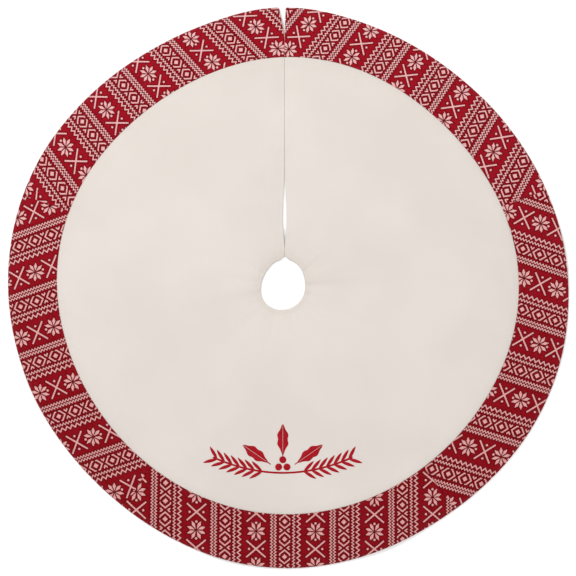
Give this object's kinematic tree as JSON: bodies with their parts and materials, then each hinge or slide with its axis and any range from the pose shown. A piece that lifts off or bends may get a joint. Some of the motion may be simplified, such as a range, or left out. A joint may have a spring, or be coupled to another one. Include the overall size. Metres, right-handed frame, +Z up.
{
  "type": "tree skirt",
  "caption": "Round lined cloth tree skirt: cream centre, patterned red border, trunk hole and a back slit whose edges fold open and close with tabs.",
  "frame": {"origin": "middle of the skirt's box, on the floor that it lies on", "axes": "+Z up, +Y from the middle towards the slit at the back, +X to the right seen from the front"},
  "size_m": [1.2186, 1.2195, 0.0072],
  "materials": {
    "cream_cloth": "matt woven linen-look cloth",
    "red_knit": "matt cloth with a pale woven pattern",
    "lining_cloth": "plain matt lining",
    "tab_cloth": "plain matt cloth",
    "closure_tape": "hook and loop tape",
    "red_thread": "satin embroidery thread",
    "cream_thread": "sewing thread",
    "backing_felt": "thin non-woven felt"
  },
  "bodies": {
    "main": {"centre_cloth_main": "cream_cloth", "lining_main": "lining_cloth", "border_panel_left": "red_knit", "border_panel_front": "red_knit", "border_panel_right": "red_knit", "embroidery_branch": "red_thread", "embroidery_leaf_left": "red_thread", "embroidery_leaf_middle": "red_thread", "embroidery_leaf_right": "red_thread", "embroidery_berry_left": "red_thread", "embroidery_berry_middle": "red_thread", "embroidery_berry_right": "red_thread", "embroidery_backing": "backing_felt", "topstitching_main": "cream_thread"},
    "left_flap": {"centre_cloth_left": "cream_cloth", "lining_left": "lining_cloth", "border_panel_back_left": "red_knit", "topstitching_left": "cream_thread", "loop_strip_rim": "closure_tape", "loop_strip_middle": "closure_tape", "loop_strip_hole": "closure_tape"},
    "right_flap": {"centre_cloth_right": "cream_cloth", "lining_right": "lining_cloth", "border_panel_back_right": "red_knit", "topstitching_right": "cream_thread"},
    "tab_rim": {"closure_tab_rim": "tab_cloth", "hook_strip_rim": "closure_tape"},
    "tab_middle": {"closure_tab_middle": "tab_cloth", "hook_strip_middle": "closure_tape"},
    "tab_hole": {"closure_tab_hole": "tab_cloth", "hook_strip_hole": "closure_tape"}
  },
  "joints": [
    {"name": "left_flap_fold", "type": "hinge", "parent": "main", "child": "left_flap", "pos_m": [-0.00807, 0.00517, 0.008], "axis": [0.9455, -0.3256, 0], "range_deg": [0, 175]},
    {"name": "right_flap_fold", "type": "hinge", "parent": "main", "child": "right_flap", "pos_m": [-0.00807, 0.00517, 0.008], "axis": [0.9397, 0.342, 0], "range_deg": [0, 175]},
    {"name": "closure_tab_rim_fold", "type": "hinge", "parent": "right_flap", "child": "tab_rim", "pos_m": [-0.007, 0.53017, 0.0012], "axis": [0, 1, 0], "range_deg": [0, 180]},
    {"name": "closure_tab_middle_fold", "type": "hinge", "parent": "right_flap", "child": "tab_middle", "pos_m": [-0.00707, 0.33617, 0.0012], "axis": [0, 1, 0], "range_deg": [0, 180]},
    {"name": "closure_tab_hole_fold", "type": "hinge", "parent": "right_flap", "child": "tab_hole", "pos_m": [-0.00445, 0.10317, 0.0012], "axis": [0, 1, 0], "range_deg": [0, 180]}
  ]
}
